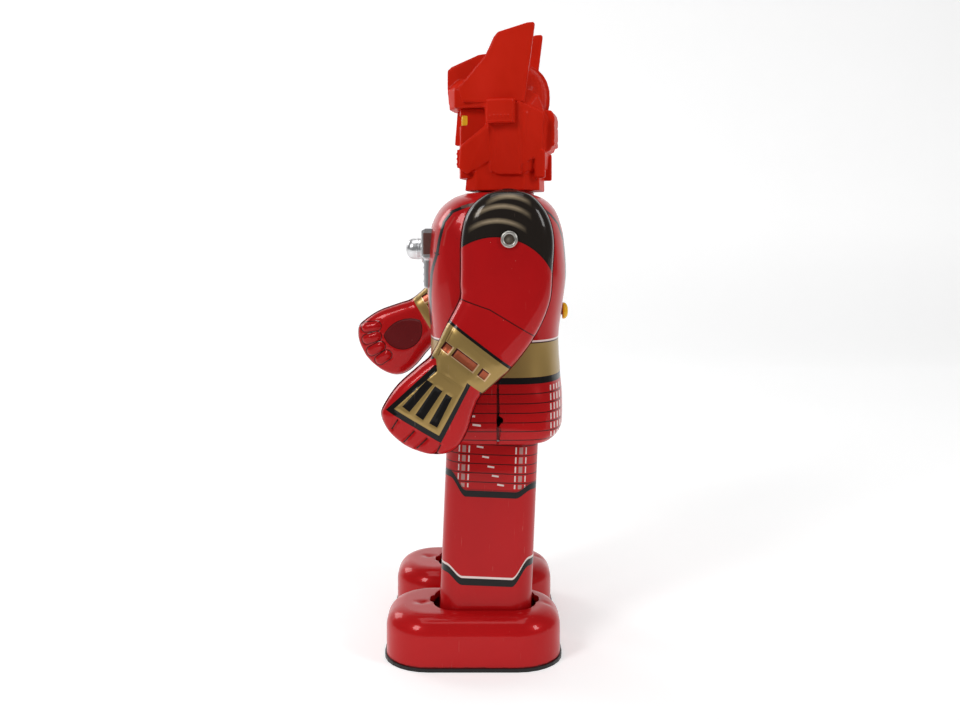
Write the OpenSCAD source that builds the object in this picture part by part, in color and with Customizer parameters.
// Tin wind-up walking robot. Millimetres, +Z up, front of the robot towards -Y,
// the robot's own left towards +X. Origin on the floor under the middle of its box.

/* [Body] */
// Thickness of the tin plate
wall = 0.6; // [0.5:0.05:0.7]
// Y of the plane where the front and rear body shells meet
seam_y = 16.3; // [16.1:0.1:16.5]
// Gap left open along the body's side seam
seam_gap = 0.4; // [0.2:0.1:0.8]
// Squareness of the hips in plan (2 is an ellipse)
hip_squareness = 4.5; // [4.4:0.1:5]
// Squareness of the chest in plan
chest_squareness = 3.2; // [3:0.1:3.4]
// Radius of the neck hole in the top of the body
neck_hole_r = 10.5; // [10:0.5:11]

/* [Head] */
// Y of the head's turning axis
head_y = 19.8; // [19.3:0.5:20.3]
// Angle that the head is turned at rest, towards the robot's right
head_turn = 10; // [0:1:20]
// Height of the underside of the head
head_base_z = 167.2; // [167.2:0.1:168]
// Height of the tips of the two fins
fin_top_z = 230; // [228:1:232]
// Thickness of each fin
fin_w = 3; // [2.5:0.5:3.5]

/* [Arms] */
// Y of the shoulder axis
shoulder_y = 19.8; // [19.8:0.1:20.1]
// Height of the shoulder axis
shoulder_z = 149.2; // [149:0.1:149.5]
// X of the plane where the two halves of an arm meet
arm_seam_x = 49; // [49:0.1:49.5]
// Radius of the hollow shoulder eyelet
eyelet_r = 2.5; // [2.3:0.1:2.6]
// Angle that the right arm is raised forward beyond the left one
right_arm_lift = 22; // [18:1:26]

/* [Legs and feet] */
// X of the middle of each leg
leg_x = 23.25; // [23.2:0.05:23.3]
// Width of a leg across the robot
leg_w = 22.5; // [22:0.1:22.6]
// Depth of a leg, front to back
leg_d = 33; // [32:0.5:33]
// Corner radius of a leg
leg_corner_r = 8; // [8:0.5:9]
// Y of the hip pivot
hip_y = 14.6; // [14.4:0.1:14.8]
// Height of the hip pivot
hip_z = 77; // [76.8:0.1:77.2]
// Distance from the hip pivot to the ankle pin
shin = 68; // [67.8:0.1:68.2]
// Angle that the legs lean forward
lean = 2.4; // [2:0.1:2.8]
// X of the middle of each foot
foot_x = 25; // [24.5:0.1:25.5]
// Y of the middle of each foot
foot_y = 7.7; // [7.3:0.1:8.1]
// Width of a foot shell
foot_w = 38; // [37.5:0.1:38.5]
// Length of a foot shell
foot_l = 62.3; // [62:0.1:63]
// Height of the top of a foot
foot_top_z = 18; // [17.8:0.1:18.5]

/* [Clockwork] */
// Module of all the gear teeth
gear_module = 0.5; // [0.5]
// Teeth on the great wheel
great_teeth = 48; // [48]
// Teeth on the crank shaft's pinion
crank_pinion_teeth = 12; // [12]
// Teeth on the crank shaft's wheel
middle_teeth = 36; // [36]
// Teeth on the escape pinion
escape_pinion_teeth = 10; // [10]
// Points on the escape wheel
escape_points = 8; // [7:1:9]
// Height of the winding arbor
arbor_z = 88; // [88]
// Radius of the winding arbor
arbor_r = 1.5; // [1.4:0.1:1.6]
// Offset of each crank pin from its shaft
crank_throw = 3.2; // [3:0.1:3.4]

/* [Hidden] */
$fn = 48;

// Small clearances
fixed_gap = 0.01;
running_gap = 0.05;

// Clockwork, worked out from the gears: the four arbors stand above one another
crank_z = arbor_z + gear_module * (great_teeth + crank_pinion_teeth) / 2;
escape_z = crank_z + gear_module * (middle_teeth + escape_pinion_teeth) / 2;
anchor_z = escape_z + 8;
pressure_angle = 25;
addendum = 0.8;
dedendum = 1.1;
backlash = 0.1;
plate_in = 10.2;
plate_t = 0.8;
plate_out = plate_in + plate_t;
crank_r = 1.2;
escape_r = 0.8;
great_x = 0;
great_w = 1.2;
middle_x = 5;
middle_w = 1;
disc_x = plate_out + 0.3;
disc_t = 0.8;

// Legs and feet, worked out from the hip pivot
hip_pin_r = 1.5;
hanger_t = 1;
hanger_x = leg_x - leg_w / 2 + wall;
ankle_y = hip_y - shin * sin(lean);
ankle_z = hip_z - shin * cos(lean);
ankle_r = 1;
sole_t = 1.2;
sole_w = foot_w + 1;
sole_l = foot_l + 1.2;
roller_r = 3.5;
roller_w = 9;
roller_z = roller_r + 0.25;
roller_axle_r = 1;
front_roller_y = foot_y - 21.5;
rear_roller_y = foot_y + 25.3;

// Back of the body
knob_z = 121.2;
knob_r = 3.2;
stop_travel = 3;

// Body outline, bottom to top: height, front depth, rear depth, half width, squareness
hs = hip_squareness;
cs = chest_squareness;
body_rows = [
    [77.4, 20.9, 20.2, 38.8, hs], [78.8, 22.8, 21.9, 39.6, hs], [81, 24.5, 23.5, 40.2, hs],
    [84, 25.4, 24.3, 40.5, hs - 0.4], [92, 25.5, 24.5, 40.5, cs + 0.4], [100, 25, 24, 39.5, cs],
    [113, 24.8, 23.4, 38.5, cs], [125, 25.8, 24.9, 39, cs], [136, 26, 26.2, 39.5, cs],
    [147, 25.4, 25.6, 39.5, cs], [154, 24.5, 24.4, 38.5, cs], [160, 21.5, 22, 36, cs],
    [164, 17, 18, 31, cs], [166, 12, 13, 22, cs - 0.4], [166.6, 5, 6, 8, 2]
];

// Left arm, shoulder to fingertips: front edge Y and Z, back edge Y and Z, half thickness
arm_rows = [
    [16.6, 166.2, 22.7, 166.2, 1.4], [11.1, 164, 28.1, 164, 5.4], [5.6, 158.5, 33.1, 158, 7.3],
    [3.4, 150, 35.4, 150, 8], [3.2, 140, 35, 138.5, 8], [3.1, 134, 33.9, 127.5, 8],
    [3, 129.2, 28.8, 116, 7.8], [-1.1, 120.9, 20.1, 104.6, 7.2],
    [-6.2, 110.6, 11.1, 96.7, 6.6], [-11.2, 106, 8.3, 91.5, 6.3], [-18.2, 99.6, 6.1, 84.5, 6],
    [-22.9, 92.5, 3.1, 79.2, 5.3], [-23.5, 89.5, -0.9, 76.6, 4.4],
    [-21.4, 84.8, -5.8, 76.2, 3], [-17.4, 80.8, -10.4, 77.2, 1.4]
];

// Head outline, bottom to top: height, middle Y, front depth, rear depth, half width, squareness
head_rows = [
    [head_base_z, 0, 14.4, 14.6, 13.5, 3], [176, 0, 15.2, 15, 14.2, 3],
    [181, 0, 17.4, 17.6, 15.5, 3], [190, 0, 19.5, 18.6, 16.6, 3],
    [199, 0, 20, 18.2, 16.8, 2.8], [206, 0, 19.5, 16.8, 15.8, 2.6],
    [212, 0, 17, 13.6, 13, 2.4], [216, 0, 12, 9.5, 8.8, 2.2], [217.6, 0, 6, 5, 4, 2]
];
face_bottom_z = 172;
face_top_z = 199;
face_depth = 8;
head_wall = 1.5;

// Side outline of a fin, in Y from the head's axis and Z
fin_outline = [
    [-14, 207.5], [-8, 213.3], [-5.3, 218], [-2.2, 224.8], [-0.7, 226.6], [10.3, fin_top_z - 0.2],
    [13.3, fin_top_z], [11.1, 214.5], [9.5, 203], [-2, 199.5], [-14, 200.5]
];

// ---- Curves and skins -------------------------------------------------------------

function catmull(a, b, c, d, t) =
    0.5 * (2 * b + (c - a) * t + (2 * a - 5 * b + 4 * c - d) * t ^ 2
        + (3 * b - a - 3 * c + d) * t ^ 3);

// Smooth run through a list of rows
function spline(p, steps) = [
    for (i = [0 : len(p) - 2], k = [0 : steps - 1])
        catmull(p[max(i - 1, 0)], p[i], p[i + 1], p[min(i + 2, len(p) - 1)], k / steps),
    p[len(p) - 1]
];

function spow(v, e) = sign(v) * pow(abs(v), e);

function quad(a, b, c, d) = [[a, b, c], [a, c, d]];

// Closed thin solid between an outer and an inner grid of points
module skin(outer, inner) {
    rows = len(outer);
    cols = len(outer[0]);
    n = rows * cols;
    k = rows - 1;
    m = cols - 1;
    function id(i, j) = i * cols + j;
    polyhedron(
        points = [for (r = outer) each r, for (r = inner) each r],
        faces = [
            for (i = [0 : k - 1], j = [0 : m - 1])
                each quad(id(i, j), id(i, j + 1), id(i + 1, j + 1), id(i + 1, j)),
            for (i = [0 : k - 1], j = [0 : m - 1])
                each quad(n + id(i, j), n + id(i + 1, j), n + id(i + 1, j + 1), n + id(i, j + 1)),
            for (i = [0 : k - 1])
                each quad(id(i, 0), id(i + 1, 0), n + id(i + 1, 0), n + id(i, 0)),
            for (i = [0 : k - 1])
                each quad(id(i + 1, m), id(i, m), n + id(i, m), n + id(i + 1, m)),
            for (j = [0 : m - 1])
                each quad(id(0, j + 1), id(0, j), n + id(0, j), n + id(0, j + 1)),
            for (j = [0 : m - 1])
                each quad(id(k, j), id(k, j + 1), n + id(k, j + 1), n + id(k, j))
        ]
    );
}

// Closed solid through a stack of rings, each running anticlockwise from above
module loft(rings) {
    m = len(rings[0]);
    k = len(rings) - 1;
    function id(i, j) = i * m + j % m;
    polyhedron(
        points = [for (r = rings) each r],
        faces = [
            [for (j = [0 : m - 1]) j],
            for (i = [0 : k - 1], j = [0 : m - 1])
                each quad(id(i + 1, j), id(i + 1, j + 1), id(i, j + 1), id(i, j)),
            [for (j = [m - 1 : -1 : 0]) id(k, j)]
        ]
    );
}

// Points of a rectangle with round corners, anticlockwise
function round_rect(w, d, r, steps) = [
    for (q = [0 : 3], s = [0 : steps])
        let (a = 90 * (q + s / steps), sx = (q == 0 || q == 3) ? 1 : -1, sy = q < 2 ? 1 : -1)
        [sx * (w / 2 - r) + r * cos(a), sy * (d / 2 - r) + r * sin(a)]
];

// ---- Placing ----------------------------------------------------------------------

// Extrudes a drawing in Y and Z along X
module along_x(x0, x1) {
    translate([x0, 0, 0])
        rotate([90, 0, 90])
            linear_extrude(x1 - x0)
                children();
}

module rod_x(x0, x1, y, z, r) {
    translate([x0, y, z])
        rotate([0, 90, 0])
            cylinder(h = x1 - x0, r = r);
}

module washer_x(x0, x1, y, z, r, bore) {
    difference() {
        rod_x(x0, x1, y, z, r);
        rod_x(x0 - 1, x1 + 1, y, z, bore);
    }
}

module block(x0, x1, y0, y1, z0, z1) {
    translate([x0, y0, z0])
        cube([x1 - x0, y1 - y0, z1 - z0]);
}

// Mirrors a left-hand piece for the right-hand side
module on_side(side) {
    if (side > 0)
        children();
    else
        mirror([1, 0, 0])
            children();
}

// ---- Body shells ------------------------------------------------------------------

body_levels = spline(body_rows, 2);
body_steps = 26;

// Unit slope of one column of the body outline against height
function slope(rows, i, col) =
    let (
        a = rows[max(i - 1, 0)],
        b = rows[min(i + 1, len(rows) - 1)],
        run = [b[col] - a[col], b[0] - a[0]]
    )
    run / norm(run);

// The body outline moved inwards by the plate's thickness
function inset_rows(rows, t) = [
    for (i = [0 : len(rows) - 1])
        let (r = rows[i], f = slope(rows, i, 1), b = slope(rows, i, 2), w = slope(rows, i, 3))
        [r[0] + t * w[0], r[1] - t * f[1], r[2] - t * b[1], r[3] - t * w[1], r[4]]
];

// One level of the body from angle a0 to a1, where 90 degrees is the front
function body_arc(r, a0, a1, shift) = [
    for (j = [0 : body_steps])
        let (a = a0 + (a1 - a0) * j / body_steps, e = 2 / r[4])
        [
            r[3] * spow(cos(a), e),
            seam_y + shift - (sin(a) >= 0 ? r[1] : r[2]) * spow(sin(a), e),
            r[0]
        ]
];

module body_skin(a0, a1, shift) {
    skin(
        [for (r = body_levels) body_arc(r, a0, a1, shift)],
        [for (r = inset_rows(body_levels, wall)) body_arc(r, a0, a1, shift)]
    );
}

// Solid outline of the chest, for fitting pieces against it
module chest_form() {
    loft([
        for (r = body_rows)
            if (r[0] > 112 && r[0] < 161) [
                for (j = [0 : 2 * body_steps - 1])
                    let (a = 180 * j / body_steps, e = 2 / r[4])
                    [
                        r[3] * spow(cos(a), e),
                        seam_y + (sin(a) < 0 ? r[1] : r[2]) * spow(sin(a), e),
                        r[0]
                    ]
            ]
    ]);
}

module body_holes() {
    translate([0, head_y, body_levels[0][0] + 80])
        cylinder(h = 20, r = neck_hole_r);
    rod_x(-60, 60, seam_y, arbor_z, arbor_r + 0.6);
    rod_x(-60, 60, shoulder_y, shoulder_z, eyelet_r + 0.08);
}

module front_shell() {
    color("firebrick")
        difference() {
            body_skin(0, 180, -seam_gap / 2);
            body_holes();
        }
}

module rear_shell() {
    color("firebrick")
        difference() {
            body_skin(180, 360, seam_gap / 2);
            body_holes();
            block(-1.3, 1.3, 32, 52, knob_z - 3, knob_z + 3 + stop_travel);
        }
}

// Bent tin tabs that bridge the side seam from inside
module seam_tabs() {
    tab_in = wall + 0.75;
    color("silver")
        for (side = [-1, 1], z = [104, 122, 138])
            translate([side * (lookup(z, [for (r = body_levels) [r[0], r[3]]]) - tab_in), seam_y, z])
                cube([0.5, 7, 4], center = true);
}

module hip_plate() {
    plate_z = 78.3;
    row = inset_rows(body_levels, wall + 0.15)[1];
    gap = 1.2;
    color("dimgray")
        difference() {
            translate([0, 0, plate_z])
                linear_extrude(wall)
                    polygon([
                        for (p = body_arc(row, 0, 180, 0)) [p[0], p[1]],
                        for (p = body_arc(row, 180, 360, 0)) [p[0], p[1]]
                    ]);
            for (side = [-1, 1])
                translate([side * leg_x, hip_y, plate_z - 1])
                    linear_extrude(wall + 2)
                        polygon(round_rect(leg_w + gap, leg_d + 2 * gap, leg_corner_r, 6));
            block(-plate_out - 0.6, plate_out + 0.6, 2.2, 30.4, plate_z - 1, plate_z + 2);
        }
}

module chest_plate() {
    chest_fit = 0.18;
    color("gainsboro")
        difference() {
            block(-21, 21, -11.7, -3.7, 130.4, 153.4);
            translate([0, -seam_gap / 2 - chest_fit, 0])
                chest_form();
            for (z = [134, 138, 149.6])
                block(-17, 17, -17.7, -11.2, z, z + 1.2);
        }
}

module chest_nozzle() {
    color("gainsboro")
        translate([0, -11.7, 145.2])
            rotate([90, 0, 0])
                rotate_extrude()
                    polygon([
                        [0, 0], [4.2, 0], [4.2, 2.6],
                        for (a = [10 : 10 : 90]) [4.2 * cos(a), 2.6 + 4.4 * sin(a)]
                    ]);
}

// ---- Clockwork frame --------------------------------------------------------------

module motor_plate(side) {
    x0 = side > 0 ? plate_in : -plate_out;
    color("lightsteelblue")
        difference() {
            block(x0, x0 + plate_t, 2.3, 30.3, 74.8, 129);
            rod_x(-20, 20, seam_y, arbor_z, arbor_r + running_gap);
            rod_x(-20, 20, seam_y, crank_z, crank_r + running_gap);
            rod_x(-20, 20, seam_y, escape_z, escape_r + running_gap);
            rod_x(-20, 20, seam_y, anchor_z, escape_r + fixed_gap);
        }
}

module motor_plate_left() motor_plate(1);

module motor_plate_right() motor_plate(-1);

module motor_pillars() {
    color("silver")
        for (p = [[4.5, 102], [28.1, 102], [5.3, 126], [27.3, 127]])
            rod_x(-plate_in, plate_in, p[0], p[1], 1.4);
}

// Coiled steel strip, wound round the arbor
module mainspring() {
    turns = 6;
    start_r = 2.6;
    end_r = 11.2;
    strip = 0.5;
    steps = turns * 20;
    function coil(i, extra) =
        let (r = start_r + (end_r - start_r) * i / steps + extra, a = 360 * turns * i / steps)
        [seam_y + r * cos(a), arbor_z + r * sin(a)];
    color("slategray")
        along_x(-9, -2)
            polygon([
                for (i = [0 : steps]) coil(i, strip),
                for (i = [steps : -1 : 0]) coil(i, 0)
            ]);
}

module hip_pins() {
    head_t = 0.8;
    pin_end = hanger_x + hanger_t + 0.4;
    color("silver")
        for (side = [1, -1])
            on_side(side) {
                rod_x(plate_out, pin_end, hip_y, hip_z, hip_pin_r);
                rod_x(pin_end, pin_end + head_t, hip_y, hip_z, hip_pin_r + 1);
            }
}

// ---- Gears ------------------------------------------------------------------------

// Involute of the angle whose cosine is c, in degrees
function involute(c) = let (a = acos(min(1, c))) tan(a) * 180 / PI - a;

// Half the angle of a tooth at radius r
function tooth_half(teeth, r) =
    let (pitch_r = teeth * gear_module / 2, c = cos(pressure_angle))
    (PI * gear_module / 2 - backlash) * 90 / (PI * pitch_r)
        + involute(c) - involute(pitch_r * c / max(r, pitch_r * c));

module gear(teeth, first_angle, bore) {
    pitch_r = teeth * gear_module / 2;
    root_r = pitch_r - dedendum * gear_module;
    tip_r = pitch_r + addendum * gear_module;
    base_r = max(pitch_r * cos(pressure_angle), root_r + 0.02);
    radii = [root_r, for (s = [0 : 3]) base_r + (tip_r - base_r) * s / 3];
    function at(r, a) = [r * cos(a), r * sin(a)];
    difference() {
        polygon([
            for (k = [0 : teeth - 1])
                let (mid = first_angle + 360 * k / teeth)
                each [
                    for (r = radii) at(r, mid - tooth_half(teeth, r)),
                    for (s = [4 : -1 : 0]) at(radii[s], mid + tooth_half(teeth, radii[s]))
                ]
        ]);
        circle(r = bore);
    }
}

module gear_x(x0, x1, z, teeth, first_angle, bore) {
    translate([0, seam_y, z])
        along_x(x0, x1)
            gear(teeth, first_angle, bore);
}

module great_wheel() {
    color("goldenrod")
        difference() {
            gear_x(great_x, great_x + great_w, arbor_z, great_teeth, 90, arbor_r + running_gap);
            for (k = [0 : 4])
                rod_x(-2, 4, seam_y + 7.8 * cos(54 + 72 * k), arbor_z + 7.8 * sin(54 + 72 * k), 1.7);
        }
}

// Pawl on the face of the great wheel
module click() {
    color("silver")
        translate([0, seam_y, arbor_z])
            along_x(great_x + great_w, great_x + great_w + 1.1)
                polygon([[5.3, -0.6], [6.1, -1.6], [9.6, 3.4], [8.2, 5], [6.8, 4.2]]);
}

module ratchet_wheel() {
    color("silver")
        translate([0, seam_y, arbor_z])
            along_x(great_x + great_w + 0.1, great_x + great_w + 1.1)
                difference() {
                    polygon([
                        for (k = [0 : 11])
                            each [
                                [5 * cos(30 * k), 5 * sin(30 * k)],
                                [3.9 * cos(30 * k + 6), 3.9 * sin(30 * k + 6)]
                            ]
                    ]);
                    circle(r = arbor_r + fixed_gap);
                }
}

module winding_arbor() {
    color("silver")
        rod_x(-47, plate_out + 1, seam_y, arbor_z, arbor_r);
}

// Two-winged key on the robot's right hip
module winding_key() {
    key_x = -41.6;
    shank_end = -47.2;
    wing_end = -57;
    color("gainsboro")
        difference() {
            union() {
                rod_x(shank_end, key_x, seam_y, arbor_z, 3);
                for (side = [-1, 1])
                    translate([-51.6, seam_y - 0.6, arbor_z + side * 5.2])
                        rotate([-90, 0, 0])
                            cylinder(h = 1.2, r = 5.4);
                block(wing_end, shank_end, seam_y - 0.6, seam_y + 0.6, arbor_z - 4, arbor_z + 4);
            }
            rod_x(-47.01, key_x + 1, seam_y, arbor_z, arbor_r + fixed_gap);
            for (side = [-1, 1])
                translate([-51.6, seam_y - 1.6, arbor_z + side * 5.6])
                    rotate([-90, 0, 0])
                        cylinder(h = 3.2, r = 2.6);
        }
}

module crank_arbor() {
    color("silver")
        rod_x(-disc_x - disc_t, disc_x + disc_t, seam_y, crank_z, crank_r);
}

module crank_pinion() {
    color("goldenrod")
        gear_x(great_x - 0.2, great_x + great_w + 0.2, crank_z, crank_pinion_teeth,
            -90 + 180 / crank_pinion_teeth, crank_r + fixed_gap);
}

module middle_wheel() {
    color("goldenrod")
        difference() {
            gear_x(middle_x, middle_x + middle_w, crank_z, middle_teeth, 90, crank_r + fixed_gap);
            for (k = [0 : 3])
                rod_x(3, 8, seam_y + 5 * cos(45 + 90 * k), crank_z + 5 * sin(45 + 90 * k), 1.6);
        }
}

// Discs on the ends of the crank shaft, with pins half a turn apart
module crank_discs() {
    pin_end = hanger_x - 0.4;
    color("silver")
        for (side = [1, -1])
            on_side(side) {
                washer_x(disc_x, disc_x + disc_t, seam_y, crank_z, 5.2, crank_r + fixed_gap);
                rod_x(disc_x + disc_t, pin_end, seam_y, crank_z + side * crank_throw, 1.2);
            }
}

module escape_arbor() {
    color("silver")
        union() {
            rod_x(-plate_out - 0.4, plate_out + 0.4, seam_y, escape_z, escape_r);
            gear_x(middle_x - 0.2, middle_x + middle_w + 0.2, escape_z, escape_pinion_teeth,
                -90 + 180 / escape_pinion_teeth, escape_r / 2);
        }
}

module escape_wheel() {
    color("goldenrod")
        translate([0, seam_y, escape_z])
            along_x(-5, -4)
                difference() {
                    polygon([
                        for (k = [0 : escape_points - 1])
                            let (a = 360 * k / escape_points, gap = 360 / escape_points)
                            each [
                                [5 * cos(a), 5 * sin(a)],
                                [3 * cos(a + gap / 2), 3 * sin(a + gap / 2)]
                            ]
                    ]);
                    circle(r = escape_r + fixed_gap);
                }
}

// Rocking anchor with two pallet pins
module pallet_anchor() {
    color("silver")
        union() {
            translate([0, seam_y, anchor_z])
                along_x(-5, -4)
                    difference() {
                        union() {
                            circle(r = 2.2);
                            for (side = [-1, 1])
                                polygon([
                                    [0, 2], [side * 7.6, -4.2], [side * 6.3, -5.4], [0, -1]
                                ]);
                        }
                        circle(r = escape_r + running_gap);
                    }
            for (side = [-1, 1])
                rod_x(-6, -4.5, seam_y + side * 6.7, anchor_z - 4.9, 0.7);
        }
}

module anchor_staff() {
    color("silver")
        rod_x(-plate_out, plate_out, seam_y, anchor_z, escape_r);
}

// Start and stop button, outside and inside the rear shell
knob_base_y = seam_y + 25.6;

module stop_knob() {
    color("orange")
        translate([0, knob_base_y, knob_z])
            rotate([-90, 0, 0])
                rotate_extrude()
                    polygon([
                        [0, 0], [knob_r, 0], [knob_r, 1.1],
                        for (a = [15 : 15 : 90]) [knob_r - 1.2 + 1.2 * cos(a), 1.1 + 1.2 * sin(a)],
                        [0, 2.3]
                    ]);
}

module stop_lever() {
    color("silver")
        union() {
            block(-0.4, 0.4, 23.8, knob_base_y, knob_z - 1.5, knob_z + 1);
            block(-3, 3, knob_base_y - 2.9, knob_base_y - 2.4, knob_z - 4.5, knob_z + 4.5);
        }
}

// ---- Arms -------------------------------------------------------------------------

arm_levels = spline(arm_rows, 2);
arm_steps = 12;

// One level across an arm half, from its front edge to its back edge
function arm_arc(front, back, half) = [
    for (j = [0 : arm_steps])
        let (u = (1 - cos(180 * j / arm_steps)) / 2, p = front + (back - front) * u)
        [arm_seam_x + half * (1 - abs(2 * u - 1) ^ 2.6) ^ (1 / 2.6), p[0], p[1]]
];

function arm_inner(i) =
    let (
        r = arm_levels[i],
        last = len(arm_levels) - 1,
        next = arm_levels[i == last ? i - 1 : i + 1],
        front = [r[0], r[1]],
        back = [r[2], r[3]],
        across = (back - front) / norm(back - front),
        down = [next[0] + next[2], next[1] + next[3]] / 2 - (front + back) / 2,
        end = (i == 0 || i == last) ? wall : 0,
        step = end * down / norm(down)
    )
    arm_arc(front + wall * across + step, back - wall * across + step, max(r[4] - wall, 0));

module arm_half() {
    difference() {
        skin(
            [for (r = arm_levels) arm_arc([r[0], r[1]], [r[2], r[3]], r[4])],
            [for (i = [0 : len(arm_levels) - 1]) arm_inner(i)]
        );
        rod_x(arm_seam_x - 1, arm_seam_x + 12, shoulder_y, shoulder_z, eyelet_r + fixed_gap);
    }
}

module arm_outer() {
    color("firebrick")
        arm_half();
}

module arm_inside() {
    color("firebrick")
        translate([2 * arm_seam_x, 0, 0])
            mirror([1, 0, 0])
                arm_half();
}

module eyelet() {
    inner_flange_x = 37;
    outer_x = arm_seam_x + 8.1;
    color("gainsboro")
        difference() {
            union() {
                rod_x(inner_flange_x, outer_x, shoulder_y, shoulder_z, eyelet_r);
                rod_x(inner_flange_x, inner_flange_x + 0.6, shoulder_y, shoulder_z, 4);
                rod_x(outer_x, outer_x + 0.7, shoulder_y, shoulder_z, eyelet_r + 0.7);
            }
            rod_x(30, 60, shoulder_y, shoulder_z, eyelet_r - 0.9);
        }
}

module shoulder_washer() {
    color("silver")
        washer_x(39.8, arm_seam_x - 8.1, shoulder_y, shoulder_z, 4.6, eyelet_r + fixed_gap);
}

// Places a left arm's piece on the raised right arm
module right_arm() {
    translate([0, shoulder_y, shoulder_z])
        rotate([-right_arm_lift, 0, 0])
            translate([0, -shoulder_y, -shoulder_z])
                mirror([1, 0, 0])
                    children();
}

module left_arm_outer() arm_outer();

module left_arm_inner() arm_inside();

module left_eyelet() eyelet();

module left_shoulder_washer() shoulder_washer();

module right_arm_outer() right_arm() arm_outer();

module right_arm_inner() right_arm() arm_inside();

module right_eyelet() right_arm() eyelet();

module right_shoulder_washer() right_arm() shoulder_washer();

// ---- Head -------------------------------------------------------------------------

head_levels = spline(head_rows, 2);
head_steps = 36;

function head_ring(r, t) = [
    for (j = [0 : head_steps - 1])
        let (a = 360 * j / head_steps, e = 2 / r[5])
        [
            (r[4] - t) * spow(cos(a), e),
            r[1] + ((sin(a) < 0 ? r[2] : r[3]) - t) * spow(sin(a), e),
            r[0]
        ]
];

module head_form() {
    loft([for (r = head_levels) head_ring(r, 0)]);
}

// The hollow inside the head, closed below the crown
module head_hollow() {
    loft([for (r = head_levels) if (r[0] < 213) head_ring(r, head_wall)]);
}

// The opening in the front of the helmet that the face sits in
module face_zone(gap) {
    block(-12 - gap, 12 + gap, -30, -face_depth + gap, face_bottom_z - gap, face_top_z + gap);
}

module head_place() {
    translate([0, head_y, 0])
        rotate([0, 0, -head_turn])
            children();
}

module helmet() {
    color("orangered")
        head_place()
            difference() {
                union() {
                    head_form();
                    block(-8, 8, 12, 20.5, 181, 196);
                    block(-3, 3, -21.5, -12, 200, 214);
                }
                head_hollow();
                face_zone(0.1);
                translate([0, 0, head_base_z - 1])
                    cylinder(h = 3, r = neck_hole_r);
            }
}

module face_mask() {
    color("orangered")
        head_place()
            difference() {
                intersection() {
                    head_form();
                    face_zone(0);
                }
                block(-10, 10, -18, 0, face_bottom_z + 2, face_top_z - 2);
                for (side = [-1, 1])
                    block(side * 6 - 3.6, side * 6 + 3.6, -30, 0, 192.5, 196.5);
            }
}

module eyes() {
    color("gold")
        head_place()
            for (side = [-1, 1])
                block(side * 6 - 3.5, side * 6 + 3.5, -18.6, -16.6, 192.6, 196.4);
}

module fin(side) {
    x0 = side > 0 ? 12.4 : -12.4 - fin_w;
    color("orangered")
        head_place()
            difference() {
                along_x(x0, x0 + fin_w)
                    polygon(fin_outline);
                head_form();
            }
}

module left_fin() fin(1);

module right_fin() fin(-1);

module ear_block(side) {
    color("orangered")
        head_place()
            on_side(side)
                difference() {
                    block(12, 19.4, -4.5, 6.4, 192, 201.2);
                    head_form();
                }
}

module left_ear_block() ear_block(1);

module right_ear_block() ear_block(-1);

// Peg that turns in the body's neck hole, with a snap rim below
module neck_plug() {
    rim_z = 163.4;
    color("orangered")
        translate([0, head_y, 0])
            difference() {
                union() {
                    translate([0, 0, rim_z])
                        cylinder(h = head_base_z + 2 - rim_z, r = neck_hole_r - 0.08);
                    translate([0, 0, rim_z])
                        cylinder(h = 1, r = neck_hole_r + 0.8);
                }
                translate([0, 0, rim_z - 1])
                    cylinder(h = 20, r = neck_hole_r - 2);
            }
}

// ---- Legs -------------------------------------------------------------------------

module leg(side) {
    top = 2;
    bottom = 4;
    color("firebrick")
        on_side(side)
            difference() {
                translate([leg_x, hip_y, hip_z])
                    rotate([-lean, 0, 0])
                        translate([0, 0, -shin - bottom])
                            linear_extrude(shin + bottom + top)
                                difference() {
                                    polygon(round_rect(leg_w, leg_d, leg_corner_r, 8));
                                    polygon(round_rect(leg_w - 2 * wall, leg_d - 2 * wall,
                                        leg_corner_r - wall, 8));
                                }
                rod_x(leg_x - leg_w, leg_x, hip_y, hip_z, hip_pin_r + running_gap);
                rod_x(leg_x - leg_w, leg_x + leg_w, ankle_y, ankle_z, ankle_r + running_gap);
            }
}

module left_leg() leg(1);

module right_leg() leg(-1);

// Strip inside the leg's inner wall that carries the hip bore and the crank slot
module hanger(side) {
    slot_r = 1.6;
    color("silver")
        on_side(side)
            difference() {
                block(hanger_x, hanger_x + hanger_t, seam_y - 7, seam_y + 6, hip_z - 14, crank_z + 8);
                rod_x(0, 40, hip_y, hip_z, hip_pin_r + running_gap);
                rod_x(0, 40, seam_y, arbor_z, arbor_r + 2.4);
                for (z = [crank_z - crank_throw - 1, crank_z + crank_throw + 1])
                    rod_x(0, 40, seam_y, z, slot_r);
                block(0, 40, seam_y - slot_r, seam_y + slot_r,
                    crank_z - crank_throw - 1, crank_z + crank_throw + 1);
            }
}

module left_hanger() hanger(1);

module right_hanger() hanger(-1);

// ---- Feet -------------------------------------------------------------------------

// Rounded block of a foot, inset by t
module foot_form(t, floor_z) {
    edge_r = 7 - t;
    top = foot_top_z - t;
    corner_r = 16;
    function level(inset, z) = [
        for (p = round_rect(foot_w - 2 * (t + inset), foot_l - 2 * (t + inset),
            corner_r - t - inset, 7))
            [foot_x + p[0], foot_y + p[1], z]
    ];
    loft([
        level(0, floor_z),
        for (a = [0 : 15 : 90]) level(edge_r * (1 - cos(a)), top - edge_r + edge_r * sin(a))
    ]);
}

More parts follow.
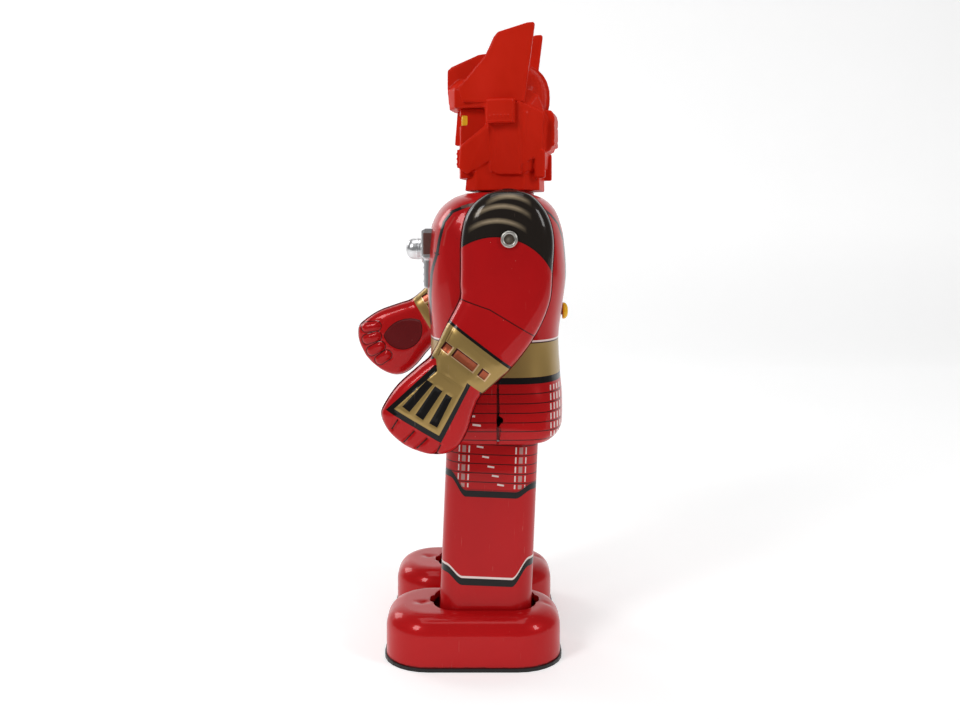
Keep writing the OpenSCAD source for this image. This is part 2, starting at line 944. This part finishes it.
module foot_shell(side) {
    slot_w = 7;
    slot_l = 43;
    color("firebrick")
        on_side(side)
            difference() {
                foot_form(0, sole_t);
                foot_form(wall, sole_t - 1);
                block(leg_x - leg_w / 2 - 1, leg_x + leg_w / 2 + 1,
                    ankle_y - leg_d / 2 - 1.9, ankle_y + leg_d / 2 + 1.9, 12, 30);
                block(leg_x - slot_w / 2, leg_x + slot_w / 2,
                    ankle_y - slot_l / 2 - 0.5, ankle_y + slot_l / 2 - 0.5, 12, 30);
            }
}

module left_foot_shell() foot_shell(1);

module right_foot_shell() foot_shell(-1);

module sole_plate(side) {
    ear_t = 0.8;
    ear_x = roller_w / 2 + 0.4;
    ankle_ear_x = leg_w / 2 + 1.3;
    color("black")
        on_side(side)
            difference() {
                union() {
                    translate([foot_x, foot_y, 0])
                        linear_extrude(sole_t)
                            polygon(round_rect(sole_w, sole_l, 16.4, 7));
                    for (y = [front_roller_y, rear_roller_y], s = [-1, 1])
                        translate([foot_x + s * (ear_x + ear_t / 2), y, sole_t])
                            translate([-ear_t / 2, -2.2, -0.2])
                                cube([ear_t, 4.4, roller_z + 1.2]);
                    for (s = [-1, 1])
                        translate([leg_x + s * ankle_ear_x - ear_t / 2, ankle_y - 4, sole_t - 0.2])
                            cube([ear_t, 8, ankle_z + 1.4]);
                }
                for (y = [front_roller_y, rear_roller_y]) {
                    block(foot_x - ear_x, foot_x + ear_x, y - 4.2, y + 4.2, -1, sole_t + 0.3);
                    rod_x(foot_x - 10, foot_x + 10, y, roller_z, roller_axle_r + fixed_gap);
                }
                rod_x(0, 60, ankle_y, ankle_z, ankle_r + fixed_gap);
            }
}

module left_sole_plate() sole_plate(1);

module right_sole_plate() sole_plate(-1);

module ankle_pin(side) {
    reach = leg_w / 2 + 2.4;
    color("silver")
        on_side(side)
            rod_x(leg_x - reach, leg_x + reach, ankle_y, ankle_z, ankle_r);
}

module left_ankle_pin() ankle_pin(1);

module right_ankle_pin() ankle_pin(-1);

module roller_axles(side) {
    reach = roller_w / 2 + 1.4;
    color("silver")
        on_side(side)
            for (y = [front_roller_y, rear_roller_y])
                rod_x(foot_x - reach, foot_x + reach, y, roller_z, roller_axle_r);
}

module left_roller_axles() roller_axles(1);

module right_roller_axles() roller_axles(-1);

module roller(side, y) {
    color("dimgray")
        on_side(side)
            washer_x(foot_x - roller_w / 2, foot_x + roller_w / 2, y, roller_z, roller_r,
                roller_axle_r + running_gap);
}

module left_front_roller() roller(1, front_roller_y);

module left_rear_roller() roller(1, rear_roller_y);

module right_front_roller() roller(-1, front_roller_y);

module right_rear_roller() roller(-1, rear_roller_y);

// ---- Drawing ----------------------------------------------------------------------

front_shell();
rear_shell();
seam_tabs();
hip_plate();
chest_plate();
chest_nozzle();
motor_plate_left();
motor_plate_right();
motor_pillars();
mainspring();
hip_pins();
helmet();
face_mask();
left_fin();
right_fin();
left_ear_block();
right_ear_block();
eyes();
neck_plug();
left_arm_outer();
left_arm_inner();
left_eyelet();
left_shoulder_washer();
right_arm_outer();
right_arm_inner();
right_eyelet();
right_shoulder_washer();
winding_key();
winding_arbor();
ratchet_wheel();
great_wheel();
click();
crank_arbor();
crank_pinion();
middle_wheel();
crank_discs();
escape_arbor();
escape_wheel();
pallet_anchor();
anchor_staff();
stop_knob();
stop_lever();
left_leg();
left_hanger();
right_leg();
right_hanger();
left_foot_shell();
left_sole_plate();
left_ankle_pin();
left_roller_axles();
left_front_roller();
left_rear_roller();
right_foot_shell();
right_sole_plate();
right_ankle_pin();
right_roller_axles();
right_front_roller();
right_rear_roller();
